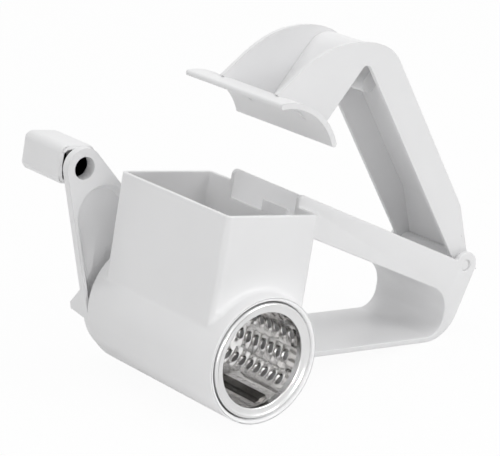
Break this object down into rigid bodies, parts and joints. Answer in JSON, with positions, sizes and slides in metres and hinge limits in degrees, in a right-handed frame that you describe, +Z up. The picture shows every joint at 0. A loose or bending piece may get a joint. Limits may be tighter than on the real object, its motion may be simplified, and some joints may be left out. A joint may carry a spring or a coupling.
{
  "type": "rotary cabbage shredder",
  "caption": "Hand-cranked rotary shredder: open hopper on a horizontal barrel, perforated steel drum, rear crank with knob, hinged pusher arm and finger-loop handle.",
  "frame": {"origin": "centre of the bounding box in X and Y, on the plane the shredder rests on", "axes": "+X from the barrel towards the hinge of the pusher arm, +Y from the drum's mouth towards the crank, +Z up"},
  "size_m": [0.2074, 0.1492, 0.1739],
  "materials": {
    "white_plastic": "satin moulded white",
    "white_pin": "satin moulded white",
    "drum_steel": "bright rolled sheet",
    "ring_steel": "polished",
    "drive_plastic": "dark moulded"
  },
  "bodies": {
    "body": {"housing": "white_plastic", "hinge_pin": "white_pin"},
    "crank": {"crank_arm": "white_plastic", "drum_drive_plate": "drive_plastic", "drum_shell": "drum_steel", "drum_front_ring": "ring_steel"},
    "grip": {"knob": "white_plastic"},
    "arm": {"pusher_arm": "white_plastic"}
  },
  "joints": [
    {"name": "crank_spin", "type": "hinge", "parent": "body", "child": "crank", "pos_m": [-0.06174, 0.0304, 0.033], "axis": [0, 1, 0], "continuous": true},
    {"name": "knob_spin", "type": "hinge", "parent": "crank", "child": "grip", "pos_m": [-0.09189, 0.0391, 0.11127], "axis": [0, 1, 0], "continuous": true},
    {"name": "pusher_hinge", "type": "hinge", "parent": "body", "child": "arm", "pos_m": [0.09621, -0.02255, 0.03746], "axis": [0, 1, 0], "range_deg": [-33.5, 70]}
  ]
}
